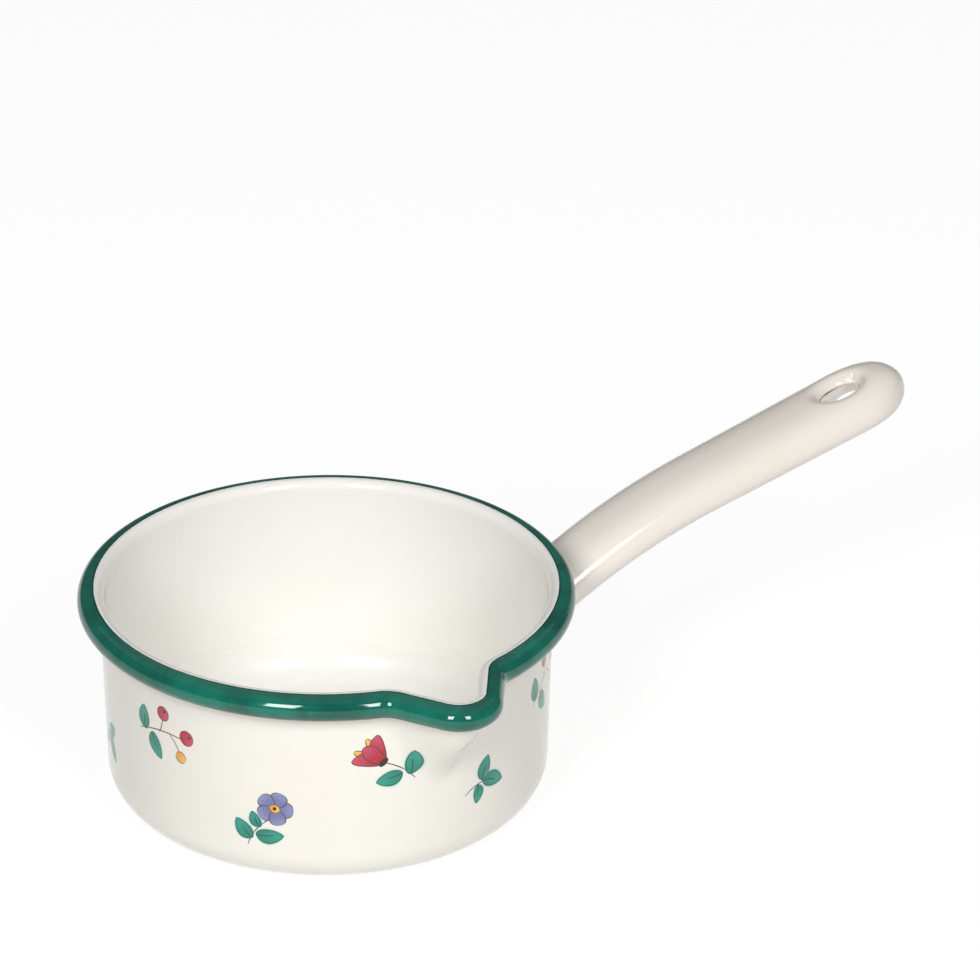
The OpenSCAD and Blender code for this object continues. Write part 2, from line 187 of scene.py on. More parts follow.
def soften(half):
    """Spreads the outside's turn over a longer way, which keeps the roll from being pinched."""
    polar = [(math.radians(angle), r) for angle, r, turn in half]
    places = [Vector((r * math.cos(a), r * math.sin(a))) for a, r in polar]
    way = [0]
    for a, b in zip(places, places[1:]):
        way.append(way[-1] + (b - a).length)
    first = NOSE_STEPS + FLANK_STEPS
    facing = [FLANK_TURN] * first + [angle + turn for angle, r, turn in half[first:]]

    def facing_at(s):
        k = max(i for i, w in enumerate(way) if w <= s or i == 0)
        k = min(k, len(way) - 2)
        return facing[k] + (facing[k + 1] - facing[k]) * (s - way[k]) / (way[k + 1] - way[k])

    made, top = list(half), EASE_STEPS + 1
    for k in range(NOSE_STEPS + 1, len(half) - KEPT_ROUND):
        angle, r, turn = half[k]
        reach = min(EASE, way[k] - way[NOSE_STEPS], way[-1] - way[k])
        eased = [
            facing_at(way[k] + reach * j / EASE_STEPS) * (top - abs(j))
            for j in range(-EASE_STEPS, top)
        ]
        made[k] = (angle, r, sum(eased) / top**2 - angle)
    return made


STATIONS = spout_stations()


def swell(z):
    share = min(max((z - SPOUT_FOOT_Z) / SPOUT_DROP, 0), 1)
    return (1 - math.cos(math.pi * share)) / 2


def spout_place(station, r, z):
    """Where a point of the section at radius r and height z lies at a station."""
    angle, reach, turn = math.radians(station[0] - 90), station[1], math.radians(station[2])
    face = wall_x(z) - (WALL_T - COAT) / math.cos(LEAN)
    out, facing = face, angle
    if swell(z) > 0:
        far = (reach - FACE_R) / SPOUT_REACH
        share = swell(z) ** (2 - far)
        slope = share * (1 - far * math.log(swell(z)))
        out = face + share * (reach - FACE_R)
        facing = angle + math.atan(slope * reach * math.tan(turn) / out)
    return (
        out * math.cos(angle) + (r - face) * math.cos(facing),
        out * math.sin(angle) + (r - face) * math.sin(facing),
    )


print("stations round the pan:", len(STATIONS))

# %% [markdown]
# Every coat is then made in the same way. A circle is added with one vertex for each point of
# the section, its vertices are put on the section, and Spin sweeps it once round the axis in
# as many steps as there are stations. Doubles are merged, the faces are turned outwards, and
# each column is carried to its station. Its place round the roll is kept in an attribute,
# which the green enamel's material reads.

# %% Tools for spinning a coat
MERGE_M = 1e-7
AXIS_R = 0.001


def mode(name):
    bpy.ops.object.mode_set(mode=name)


def start_piece(name):
    piece = bpy.context.object
    piece.name = name
    piece.data.name = name
    return piece


def finish_piece(piece, nodes, sharp=40):
    bpy.ops.object.select_all(action="DESELECT")
    piece.select_set(True)
    bpy.context.view_layer.objects.active = piece
    bpy.ops.object.transform_apply(location=True, rotation=True, scale=True)
    bpy.ops.object.shade_smooth_by_angle(angle=math.radians(sharp))
    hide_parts(*nodes)
    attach(piece, "root")
    print(piece.name, "has", len(piece.data.polygons), "faces")


def close_and_turn_out():
    bpy.ops.mesh.select_all(action="SELECT")
    bpy.ops.mesh.remove_doubles(threshold=MERGE_M)
    bpy.ops.mesh.delete_loose()
    bpy.ops.mesh.select_all(action="SELECT")
    bpy.ops.mesh.normals_make_consistent(inside=False)


def spun_coat(name, section):
    bpy.ops.mesh.primitive_circle_add(vertices=len(section), radius=WALL_R * MM)
    piece = start_piece(name)
    for vertex, (r, z) in zip(piece.data.vertices, section):
        vertex.co = (r * MM, 0, z * MM)
    mode("EDIT")
    bpy.ops.mesh.select_all(action="SELECT")
    bpy.ops.mesh.spin(
        steps=len(STATIONS), angle=2 * math.pi, center=(0, 0, 0), axis=(0, 0, 1)
    )
    close_and_turn_out()
    mode("OBJECT")
    carry_to_stations(piece.data)
    return piece


def carry_to_stations(mesh):
    turn = mesh.attributes.new("turn", "FLOAT", "POINT")
    step = 2 * math.pi / len(STATIONS)
    for vertex in mesh.vertices:
        r, z = math.hypot(vertex.co.x, vertex.co.y) / MM, vertex.co.z / MM
        turn.data[vertex.index].value = math.degrees(math.atan2(z - BEAD_Z, r - BEAD_X))
        if r > AXIS_R:
            column = round(math.atan2(vertex.co.y, vertex.co.x) / step) % len(STATIONS)
            x, y = spout_place(STATIONS[column], r, z)
            vertex.co = (x * MM, y * MM, z * MM)


# %% [markdown]
# The lining is one glossy coat from the middle of the floor up the wall and over the lip, to
# the green edge. The outside has its own coat, from the base's corner up to the level at which
# the roll ends. The green coat covers the roll.

# %% The three coats of the wall and rim
lining = spun_coat(
    "lining",
    wall_line(WALL_T) + lip_line(0) + (wall_line(WALL_T - COAT) + lip_line(COAT))[::-1],
)
finish_piece(lining, ["inside_enamel"])

past_floor = len(FLOOR_RINGS)
wall_coat = spun_coat(
    "wall_coat", wall_line(0)[past_floor:] + wall_line(COAT)[past_floor:][::-1]
)
finish_piece(wall_coat, ["outside_enamel"])

rim_coat = spun_coat(
    "rim_coat",
    green_edge(0) + bead_line(0) + (green_edge(COAT) + bead_line(COAT))[::-1],
)
finish_piece(rim_coat, ["rim_enamel"])

# %% [markdown]
# The steel is one sheet under all the coats, up the wall, over the lip and round the roll to
# its open end. It is spun from the same lines, a hair thinner than the room between the
# coats, so that it never shows through them.

# %% The steel sheet
HAIR = 0.02
steel_out, steel_in = COAT + HAIR, COAT + SHEET - HAIR
steel_sheet = spun_coat(
    "steel_sheet",
    wall_line(steel_in) + lip_line(steel_out) + bead_line(steel_out)
    + (wall_line(steel_out) + lip_line(steel_in) + bead_line(steel_in))[::-1],
)
finish_piece(steel_sheet, ["pan_body"])

# %% [markdown]
# The pan stands on the coat underneath. A flat cylinder gets four insets in its lower face,
# and the inner ones are drawn up a little, so that only a ring touches the stove, as on a real
# pan, whose base is pressed slightly hollow.

# %% The coat under the base
def select_faces(mesh, wanted):
    """Selects in edit mode the faces for which wanted(face) is true."""
    bm = bmesh.from_edit_mesh(mesh)
    bm.faces.ensure_lookup_table()
    for face in bm.faces:
        face.select = wanted(face)
    bm.select_flush(True)
    bmesh.update_edit_mesh(mesh)


BASE_SIDES = 192
RING_WIDTHS_AND_RISES = ((3, 0), (2, 0.04), (4, 0.05), (12, 0.02))
BASE_EDGE = 0.06

bpy.ops.mesh.primitive_cylinder_add(
    vertices=BASE_SIDES,
    radius=(CORNER_X - SKIN) * MM,
    depth=COAT * MM,
    location=(0, 0, COAT * MM / 2),
)
base_coat = start_piece("base_coat")
bpy.ops.object.transform_apply(location=True, rotation=True, scale=True)
mode("EDIT")
bpy.ops.mesh.select_mode(type="FACE")
select_faces(base_coat.data, lambda face: face.normal.z < -0.9)
for width, rise in RING_WIDTHS_AND_RISES:
    bpy.ops.mesh.inset(thickness=width * MM, depth=0)
    bpy.ops.transform.translate(value=(0, 0, rise * MM))
mode("OBJECT")
soft = base_coat.modifiers.new("soft_edge", "BEVEL")
soft.width = BASE_EDGE * MM
soft.segments = 2
soft.limit_method = "ANGLE"
soft.angle_limit = math.radians(60)
bpy.ops.object.modifier_apply(modifier=soft.name)
finish_piece(base_coat, ["base_enamel"])

# %% [markdown]
# The hollow handle is pressed from two sheets that meet a little below its widest line. Its
# middle line leaves the wall steeply, bends and runs straight to the tip. The section is a
# squarish oval, which grows towards the tip and then closes in a round end.

# %% Sizes and middle line of the handle
TRIM = 0.04
HANDLE_REACH = 120.4 - TRIM
ROOT_Z = 34.4
SLOPE = math.radians(14.2)
BEND_R = 174
BEND_RUN = 55.3
ROOT_W, END_W = 20.4, 23.2 - TRIM
ROOT_T, END_T = 12.3, 14 - TRIM
ROUND = 17
SQUARE = 2.4
SEAM = 15
SHEET_T = 1
ROOT_GAP = 0.05
NEAR_WALL = 6
BEND_END_X = WALL_R + BEND_RUN
BEND_X = BEND_END_X + BEND_R * math.sin(SLOPE)
ROOT_SLOPE = math.asin((BEND_X - WALL_R) / BEND_R)
BEND_Z = ROOT_Z - BEND_R * math.cos(ROOT_SLOPE)
BEND_END_Z = BEND_Z + BEND_R * math.cos(SLOPE)
BEND_LEN = BEND_R * (ROOT_SLOPE - SLOPE)
HANDLE_LEN = BEND_LEN + (HANDLE_REACH - BEND_RUN) / math.cos(SLOPE)
ROUND_START = HANDLE_LEN - ROUND


def middle(s):
    """Place and slope of the middle line at a distance s from the wall."""
    if s < BEND_LEN:
        a = ROOT_SLOPE - s / BEND_R
        return BEND_X - BEND_R * math.sin(a), BEND_Z + BEND_R * math.cos(a), a
    run = s - BEND_LEN
    return BEND_END_X + run * math.cos(SLOPE), BEND_END_Z + run * math.sin(SLOPE), SLOPE


def half_sizes(s):
    """Half of the handle's width and thickness at s, with its round end."""
    grow = min(s / ROUND_START, 1)
    share = min(max((s - ROUND_START) / ROUND, 0), 1)
    width = (ROOT_W + (END_W - ROOT_W) * grow) / 2 * math.sqrt(1 - share**2)
    thickness = (ROOT_T + (END_T - ROOT_T) * grow) / 2 * math.sqrt(1 - share**4)
    return width, thickness


def bulge(v):
    return math.copysign(abs(v) ** (2 / SQUARE), v)


def handle_place(s, angle, grow=0):
    """Point of the handle's surface, or of one that is grown from it."""
    x, z, slope = middle(s)
    width, thickness = half_sizes(s)
    y = (width + grow) * bulge(math.cos(angle))
    h = (thickness + grow) * bulge(math.sin(angle))
    return Vector((x - h * math.sin(slope), y, z + h * math.cos(slope)))


def root_place(angle, grow=0):
    """The same point at the wall, found along the handle's direction there."""
    p = handle_place(0, angle, grow)
    dx, dz, lean = math.cos(ROOT_SLOPE), math.sin(ROOT_SLOPE), math.tan(LEAN)
    r = wall_x(p.z) + ROOT_GAP
    a = dx * dx - lean * lean * dz * dz
    b = p.x * dx - r * lean * dz
    c = p.x**2 + p.y**2 - r * r
    t = (math.sqrt(b * b - a * c) - b) / a
    return Vector((p.x + t * dx, p.y, p.z + t * dz))


def skin_place(s, angle):
    """Point of the finished surface, which runs into the wall over its first millimetres."""
    if s >= NEAR_WALL:
        return handle_place(s, angle)
    return root_place(angle).lerp(handle_place(NEAR_WALL, angle), s / NEAR_WALL)


print(f"the handle's middle line is {HANDLE_LEN:.1f} mm long")

# %% [markdown]
# The hanging hole is an oval, which the upper sheet dips into with a soft rim. The lower sheet
# rises to meet it in a wide cup whose land has a drop-shaped hole. Both are described in the
# frame of the handle's straight part, with X along it and Z out of its top, by the distance
# of a curve from a middle point at an angle.

# %% The hole's outlines
HOLE_FROM_TIP = 19.1
HOLE_S = HANDLE_LEN - HOLE_FROM_TIP + TRIM
HOLE_HALF_L, HOLE_HALF_W = 6.35, 3.75
DROP_R, DROP_TIP_R = 4.5, 0.9
DROP_X, DROP_TIP_X = 5.6, -3.6
DROP_CIRCLES = 60
LAND_W, LAND_END_W, CUP_W = 2.9, 1.2, 4.1
CUP_X = 2


def oval_reach(angle, grow):
    a, b = HOLE_HALF_L + grow, HOLE_HALF_W + grow
    return a * b / math.hypot(b * math.cos(angle), a * math.sin(angle))


def drop_reach(angle, grow, end_grow):
    """Distance to the drop's edge, which is the outline round a row of growing circles."""
    reach, last = 0, DROP_CIRCLES
    for k in range(last + 1):
        x = DROP_TIP_X + (DROP_X - DROP_TIP_X) * k / last - CUP_X
        r = (DROP_TIP_R + grow) * (1 - k / last) + (DROP_R + end_grow) * k / last
        root = r * r - (x * math.sin(angle)) ** 2
        if root >= 0:
            reach = max(reach, x * math.cos(angle) + math.sqrt(root))
    return reach


def land_reach(angle, grow):
    return drop_reach(angle, LAND_W + grow, LAND_END_W + grow)


def surface_z(x, y):
    """Height of the handle's surface over its middle, beside the hole."""
    width, thickness = half_sizes(HOLE_S + x)
    side = min(abs(y) / width, 1)
    return thickness * (1 - side**SQUARE) ** (1 / SQUARE)


hole_x, hole_z, _ = middle(HOLE_S)
at_hole = Matrix.Translation((hole_x, 0, hole_z)) @ Matrix.Rotation(-SLOPE, 4, "Y")
to_hole = at_hole.inverted()
print("crown of the handle over the hole:", round(surface_z(0, 0), 2), "mm")

# %% [markdown]
# Each sheet starts as a flat grid: one way along the handle, the other way round it. A block
# of faces is taken out where the hole comes, the grid is carried on to the handle's surface,
# and the block's open edge is extruded inwards row by row: first flat on the surface to the
# edge of the dip, then down into it. Every new row keeps each vertex at its angle round the
# hole, so the faces stay even. Solidify gives the sheet its thickness in the end.

# %% Tools for a sheet of the handle
BEND_STEPS, RUN_STEPS, END_STEPS = 26, 34, 26
ALONG = (
    [BEND_LEN * (k / BEND_STEPS) for k in range(BEND_STEPS)]
    + [BEND_LEN + (ROUND_START - BEND_LEN) * k / RUN_STEPS for k in range(RUN_STEPS)]
    + [ROUND_START + ROUND * math.sin(math.radians(90 * k / END_STEPS))
       for k in range(END_STEPS + 1)]
)
SEAM_FACE = 0.4
BESIDE_HOLE = 16
COUNTED_X = 120


def turned_angles(start, end, steps):
    """Angles round the handle, with a narrow face at each seam to keep the light even."""
    between = [start + (end - start) * k / steps for k in range(1, steps)]
    return [start, start + SEAM_FACE] + between + [end - SEAM_FACE, end]


def flat_sheet(name, angles):
    nx, ny = len(ALONG) - 1, len(angles) - 1
    bpy.ops.mesh.primitive_grid_add(x_subdivisions=nx, y_subdivisions=ny, size=1)
    piece = start_piece(name)
    for vertex in piece.data.vertices:
        i, j = round((vertex.co.x + 0.5) * nx), round((vertex.co.y + 0.5) * ny)
        vertex.co = (ALONG[i], angles[j], 0)
    return piece


def take_out_block(piece, along, angles):
    mode("EDIT")
    bpy.ops.mesh.select_mode(type="FACE")

    def in_block(face):
        centre = face.calc_center_median()
        return along[0] < centre.x < along[1] and angles[0] < centre.y < angles[1]

    select_faces(piece.data, in_block)
    bpy.ops.mesh.delete(type="FACE")
    mode("OBJECT")


def carry_to_handle(piece):
    for vertex in piece.data.vertices:
        vertex.co = skin_place(vertex.co.x, math.radians(vertex.co.y)) * MM


def edge_z(x):
    """Height that parts the block's edge from the seam at a place along the handle."""
    low, high = [bulge(math.sin(math.radians(SEAM + over))) for over in (0, 3)]
    return 0.5 * (low + high) * half_sizes(HOLE_S + min(x, BESIDE_HOLE))[1]


def select_hole_edge(piece, side):
    bm = bmesh.from_edit_mesh(piece.data)
    for edge in bm.edges:
        p = to_hole @ ((edge.verts[0].co + edge.verts[1].co) / 2 / MM)
        beside = p.z * side > edge_z(p.x) and p.x > -BESIDE_HOLE
        edge.select = edge.is_boundary and beside
    bm.select_flush_mode()
    bmesh.update_edit_mesh(piece.data)
    return sum(edge.select for edge in bm.edges)


def extrude_row(piece, centre_x, place):
    """Extrudes the open edge and puts each new vertex where place(x, y, angle) says."""
    bpy.ops.mesh.extrude_edges_move()
    bm = bmesh.from_edit_mesh(piece.data)
    for vertex in bm.verts:
        if vertex.select:
            p = to_hole @ (vertex.co / MM)
            angle = math.atan2(p.y, p.x - centre_x)
            vertex.co = at_hole @ Vector(place(p.x, p.y, angle)) * MM
    bmesh.update_edit_mesh(piece.data)


def at_reach(centre_x, reach, angle):
    return centre_x + reach * math.cos(angle), reach * math.sin(angle)


def flat_rows(piece, centre_x, outline, side, rows):
    """Rows that run from the block's edge to an outline on the handle's surface."""
    for k in range(rows):
        share = 1 / (rows - k)

        def place(x, y, angle):
            ox, oy = at_reach(centre_x, outline(angle), angle)
            x, y = x + (ox - x) * share, y + (oy - y) * share
            return x, y, side * surface_z(x, y)

        extrude_row(piece, centre_x, place)


def turn_out_sheet(piece):
    """Merges the tip, and flips the open sheet if its faces look into the handle."""
    close_and_turn_out()
    bm = bmesh.from_edit_mesh(piece.data)
    inwards = 0
    for face in bm.faces:
        centre = face.calc_center_median()
        x, z, _ = middle(max((centre.x / MM - WALL_R) / math.cos(SLOPE), 0))
        if centre.x < COUNTED_X * MM:
            inwards += 1 if face.normal.dot(centre - Vector((x * MM, 0, z * MM))) < 0 else -1
    if inwards > 0:
        bpy.ops.mesh.flip_normals()


def opened_sheet(name, angles, along, around, side):
    """A sheet on the handle's surface without its block, whose open edge is selected."""
    piece = flat_sheet(name, angles)
    take_out_block(piece, [HOLE_S + x for x in along], around)
    carry_to_handle(piece)
    mode("EDIT")
    bpy.ops.mesh.select_mode(type="EDGE")
    print("edges round the hole of", name, select_hole_edge(piece, side))
    return piece


def finish_sheet(piece, node):
    """Leaves edit mode once, which works out the moved faces' normals, and thickens."""
    mode("OBJECT")
    mode("EDIT")
    turn_out_sheet(piece)
    mode("OBJECT")
    solid = piece.modifiers.new("sheet", "SOLIDIFY")
    solid.thickness = SHEET_T * MM
    solid.offset = -1
    solid.use_even_offset = True
    bpy.ops.object.modifier_apply(modifier=solid.name)
    finish_piece(piece, [node], 50)


# %% [markdown]
# The upper sheet dips into its hole with a soft rim, steeper and steeper down to the edge. A
# small vent is pressed into that slope: a hollow handle needs one, because the air inside it
# grows hot when the enamel is fired.

# %% The upper sheet
DIP_W, DIP_D, DIP_ROWS = 5, 2.2, 22
LIP_ROWS = ((-0.12, 2.4), (-0.2, 2.6), (-0.22, 2.75), (-0.22, 2.9))
VENT = Vector((6.2, 2.3))
VENT_R, VENT_D = 1.15, 0.45


def dip_place(rho, drop):
    def place(x, y, angle):
        x, y = at_reach(0, oval_reach(angle, rho), angle)
        away = (Vector((x, y)) - VENT).length / VENT_R
        vent = VENT_D * (1 - away**2) ** 2 if away < 1 else 0
        return x, y, surface_z(x, y) - drop - vent

    return place


upper_angles = turned_angles(-SEAM, 180 + SEAM, 76)
handle_upper = opened_sheet("handle_upper", upper_angles, (-13.2, 13.2), (36, 144), 1)
flat_rows(handle_upper, 0, lambda angle: oval_reach(angle, DIP_W), 1, 4)
for k in range(1, DIP_ROWS + 1):
    rho = DIP_W * (1 - k / DIP_ROWS)
    extrude_row(handle_upper, 0, dip_place(rho, DIP_D * (1 - rho / DIP_W) ** 3))
for rho, drop in LIP_ROWS:
    extrude_row(handle_upper, 0, dip_place(rho, drop))
finish_sheet(handle_upper, "handle_upper_shell")

# %% [markdown]
# The lower sheet is made the same way, and its rows rise inside the handle: a wide cup that
# ends in a flat land a little under the upper sheet's edge, with the drop-shaped hole in it.
# Its skin is the side that is seen from below, and the thickness goes on inside.

# %% The lower sheet
LAND_TOP = 3.38
CUP_ROWS = (0.03, 0.08, 0.15, 0.3, 0.5, 0.7, 0.85, 0.93, 0.97, 1)
LAND_ROWS = (0.15, 0.5, 0.85, 1)


def cup_place(share):
    def place(x, y, angle):
        grow = CUP_W * (1 - share) - SHEET_T * share
        start = -surface_z(*at_reach(CUP_X, land_reach(angle, CUP_W), angle))
        eased = 0.7 * share + 0.15 * (1 - math.cos(math.pi * share))
        x, y = at_reach(CUP_X, land_reach(angle, grow), angle)
        return x, y, start + (LAND_TOP - SHEET_T - start) * eased

    return place


def land_place(share):
    def place(x, y, angle):
        outer, inner = land_reach(angle, -SHEET_T), drop_reach(angle, 0, 0)
        x, y = at_reach(CUP_X, outer + (inner - outer) * share, angle)
        return x, y, LAND_TOP - SHEET_T

    return place


lower_angles = turned_angles(180 + SEAM, 360 - SEAM, 60)
handle_lower = opened_sheet("handle_lower", lower_angles, (-13.6, 16.5), (198.7, 341.3), -1)
flat_rows(handle_lower, CUP_X, lambda angle: land_reach(angle, CUP_W), -1, 3)
for share in CUP_ROWS:
    extrude_row(handle_lower, CUP_X, cup_place(share))
for share in LAND_ROWS:
    extrude_row(handle_lower, CUP_X, land_place(share))
finish_sheet(handle_lower, "handle_lower_shell")

# %% [markdown]
# Under the enamel, a weld runs round the handle's root. It is a torus whose vertices are
# carried on to a hollow fillet: it leaves the wall flat and meets the handle flat, so the
# light runs smoothly from one to the other.

# %% The fillet at the handle's root
ROOT_TURNS, FACE_STEPS = 144, 9
ROW_LEN = FACE_STEPS + 2
LEG = 3
CORNER_GROW, HANDLE_GROW = 0.05, 0.03


def fillet_row(angle):
    corner = root_place(angle, CORNER_GROW)
    up_wall = root_place(angle, LEG) - corner
    along = handle_place(NEAR_WALL, angle, HANDLE_GROW) - corner
    along *= LEG / along.length
    turns = [math.radians(90 * k / FACE_STEPS) for k in range(FACE_STEPS + 1)]
    face = [corner + up_wall * (1 - math.sin(a)) + along * (1 - math.cos(a)) for a in turns]
    return [corner] + face


bpy.ops.mesh.primitive_torus_add(
    major_segments=ROOT_TURNS, minor_segments=ROW_LEN, major_radius=0.02, minor_radius=0.005
)
root_fillet = start_piece("root_fillet")
for i in range(ROOT_TURNS):
    for j, p in enumerate(fillet_row(2 * math.pi * i / ROOT_TURNS)):
        root_fillet.data.vertices[i * ROW_LEN + j].co = p * MM
mode("EDIT")
close_and_turn_out()
mode("OBJECT")
finish_piece(root_fillet, ["handle_weld"], 60)

# %% [markdown]
# Fired enamel is glass on steel: glossy, a little uneven, clouded by the coat's changing
# thickness, with a few tiny specks and pits. One node group makes these for every coat, with
# each coat's own values, from the place on the object. Scales are in waves or cells to a metre.

# %% Tools for node trees
def group(name, inputs, outputs):
    tree = bpy.data.node_groups.new(name, "ShaderNodeTree")
    kinds = {"colour": "Color", "vector": "Vector", "value": "Float"}
    for label, kind, value in inputs:
        kind = "NodeSocket" + kinds[kind]
        socket = tree.interface.new_socket(label, in_out="INPUT", socket_type=kind)
        if value is not None:
            socket.default_value = value
    for label, kind in outputs:
        kind = "NodeSocket" + kinds[kind]
        tree.interface.new_socket(label, in_out="OUTPUT", socket_type=kind)
    given, out = tree.nodes.new("NodeGroupInput"), tree.nodes.new("NodeGroupOutput")
    return tree, given.outputs, out.inputs


def put(tree, socket, value):
    if isinstance(value, bpy.types.NodeSocket):
        tree.links.new(value, socket)
    else:
        socket.default_value = value


def sums(tree, kind, *values):
    node = tree.nodes.new("ShaderNodeMath")
    node.operation = kind
    for socket, value in zip(node.inputs, values):
        put(tree, socket, value)
    return node.outputs[0]


def times(tree, a, b):
    return sums(tree, "MULTIPLY", a, b)


def scaled(tree, value, by, plus):
    return sums(tree, "MULTIPLY_ADD", value, by, plus)


def minus(tree, a, b):
    return sums(tree, "SUBTRACT", a, b)


def ramp(tree, value, start, end):
    node = tree.nodes.new("ShaderNodeMapRange")
    node.interpolation_type = "SMOOTHSTEP"
    for socket, number in zip(node.inputs, (value, start, end)):
        put(tree, socket, number)
    return node.outputs[0]


def mix(tree, share, a, b):
    node = tree.nodes.new("ShaderNodeMix")
    node.data_type = "RGBA"
    put(tree, node.inputs[0], share)
    put(tree, node.inputs[6], a)
    put(tree, node.inputs[7], b)
    return node.outputs[2]


def wash(tree, mask, strength, under, over):
    return mix(tree, times(tree, mask, strength), under, over)


def object_place(tree):
    return tree.nodes.new("ShaderNodeTexCoord").outputs["Object"]


def split(tree, value, kind="XYZ"):
    node = tree.nodes.new("ShaderNodeSeparate" + kind)
    put(tree, node.inputs[0], value)
    return node.outputs


def flat_place(tree, x, y):
    node = tree.nodes.new("ShaderNodeCombineXYZ")
    put(tree, node.inputs[0], x)
    put(tree, node.inputs[1], y)
    return node.outputs[0]


def turned(tree, place, angle):
    node = tree.nodes.new("ShaderNodeVectorRotate")
    node.rotation_type = "Z_AXIS"
    put(tree, node.inputs["Vector"], place)
    put(tree, node.inputs["Angle"], angle)
    return node.outputs[0]


def noise(tree, place, scale, detail=2.0, roughness=0.5):
    node = tree.nodes.new("ShaderNodeTexNoise")
    put(tree, node.inputs["Vector"], place)
    put(tree, node.inputs["Scale"], scale)
    node.inputs["Detail"].default_value = detail
    node.inputs["Roughness"].default_value = roughness
    return node.outputs[0]


def use(tree, made, **values):
    node = tree.nodes.new("ShaderNodeGroup")
    node.node_tree = made
    for label, value in values.items():
        put(tree, node.inputs[label.replace("_", " ")], value)
    return node.outputs


# %% The enamel's own surface
WAVE_SCALE, SPECK_SCALE, FINE_SCALE = 110, 420, 900
enamel_skin, given, out = group(
    "fired enamel",
    [
        ("Colour", "colour", (0.8, 0.8, 0.8, 1)), ("Cloud", "colour", (0.7, 0.7, 0.7, 1)),
        ("Cloud scale", "value", 40), ("Cloud share", "value", 0.3),
        ("Speck", "colour", (0.2, 0.15, 0.1, 1)), ("Speck share", "value", 0.02),
        ("Gloss", "value", 0.12), ("Ripple", "value", 0.3),
    ],
    [("Colour", "colour"), ("Roughness", "value"), ("Normal", "vector")],
)
tree = enamel_skin
place = object_place(tree)
broad = noise(tree, place, given["Cloud scale"], 3, 0.55)
fine = noise(tree, place, FINE_SCALE, 2)
cloudy = ramp(tree, broad, 0.35, 0.7)
clouded = wash(tree, cloudy, given["Cloud share"], given["Colour"], given["Cloud"])
cells = tree.nodes.new("ShaderNodeTexVoronoi")
cells.inputs["Scale"].default_value = SPECK_SCALE
put(tree, cells.inputs["Vector"], place)
drawn = split(tree, cells.outputs["Color"], "Color")
chosen = sums(tree, "LESS_THAN", drawn[0], given["Speck share"])
size = scaled(tree, drawn[1], 0.07, 0.04)
dot = ramp(tree, cells.outputs["Distance"], size, times(tree, size, 0.4))
speck = times(tree, chosen, dot)
put(tree, out["Colour"], wash(tree, speck, 0.75, clouded, given["Speck"]))
uneven = scaled(tree, broad, 0.08, -0.04)
rough = sums(tree, "ADD", given["Gloss"], uneven)
put(tree, out["Roughness"], scaled(tree, speck, 0.15, rough))
waves = noise(tree, place, WAVE_SCALE, 1)
height = scaled(tree, fine, 0.04, waves)
height = scaled(tree, speck, -0.25, height)
bump = tree.nodes.new("ShaderNodeBump")
bump.inputs["Distance"].default_value = 0.0002
put(tree, bump.inputs["Strength"], given["Ripple"])
put(tree, bump.inputs["Height"], height)
put(tree, out["Normal"], bump.outputs[0])
print("fired enamel:", len(tree.nodes), "nodes")

# %% [markdown]
# The lining, the handle and its fillet are the plain cream coats. They differ in warmth: the
# lining is the whitest, and the handle the warmest.

# %% The plain coats
SPECK, SPECK_SHARE = (0.3, 0.22, 0.14, 1), 0.004


def coat_material(name, ior=1.5):
    material = bpy.data.materials.new(name)
    material.use_nodes = True
    shader = material.node_tree.nodes["Principled BSDF"]
    shader.inputs["IOR"].default_value = ior
    return material, material.node_tree, shader


def plug_in(tree, shader, skin):
    tree.links.new(skin["Colour"], shader.inputs["Base Color"])
    tree.links.new(skin["Roughness"], shader.inputs["Roughness"])
    tree.links.new(skin["Normal"], shader.inputs["Normal"])


def dress(piece, material):
    piece.data.materials.append(material)


def plain_coat(name, colour, cloud, gloss, ripple):
    material, tree, shader = coat_material(name)
    skin = use(
        tree, enamel_skin, Colour=(*colour, 1), Cloud=(*cloud, 1), Cloud_share=0.35,
        Cloud_scale=34, Speck=SPECK, Speck_share=SPECK_SHARE, Gloss=gloss, Ripple=ripple,
    )
    plug_in(tree, shader, skin)
    return material


def dull_low_down(material, start, full, more):
    """Whisks and spoons dull the lining in the corner of the floor."""
    tree = material.node_tree
    roughness = tree.nodes["Principled BSDF"].inputs["Roughness"]
    low = ramp(tree, split(tree, object_place(tree))[2], start, full)
    put(tree, roughness, scaled(tree, low, more, roughness.links[0].from_socket))


lining_coat = plain_coat("lining_enamel", (0.90, 0.885, 0.845), (0.86, 0.84, 0.79), 0.12, 0.1)
dull_low_down(lining_coat, 0.022, 0.010, 0.17)
dress(lining, lining_coat)
handle_coat = plain_coat("handle_enamel", (0.82, 0.77, 0.70), (0.80, 0.735, 0.65), 0.14, 0.16)
for piece in (handle_upper, handle_lower, root_fillet):
    dress(piece, handle_coat)

# %% [markdown]
# Underneath, the coat is greyer and dulled in a ring where it stands on the stove, with fine
# scratches round it and the three small marks of the points that it was fired on.

